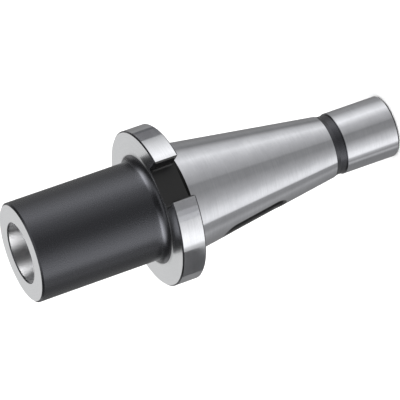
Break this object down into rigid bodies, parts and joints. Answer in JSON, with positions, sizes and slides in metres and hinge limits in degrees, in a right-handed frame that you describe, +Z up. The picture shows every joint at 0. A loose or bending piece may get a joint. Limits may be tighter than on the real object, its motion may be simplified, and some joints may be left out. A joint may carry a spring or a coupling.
{
  "type": "morse taper adapter",
  "caption": "Steel machine-tool adapter: a 7:24 steep taper shank with pilot and slotted drive flange carries a round head with a Morse taper socket.",
  "frame": {"origin": "centre of the pilot's end face, which the adapter stands on", "axes": "+Z up the axis towards the mouth of the Morse socket, +X along the drift slot, +Y and -Y out through the two drive slots"},
  "size_m": [0.063, 0.0606, 0.1584],
  "materials": {
    "ground_steel": "hardened and ground, head and recesses blackened"
  },
  "bodies": {
    "root": {"adapter_body": "ground_steel"}
  },
  "joints": []
}
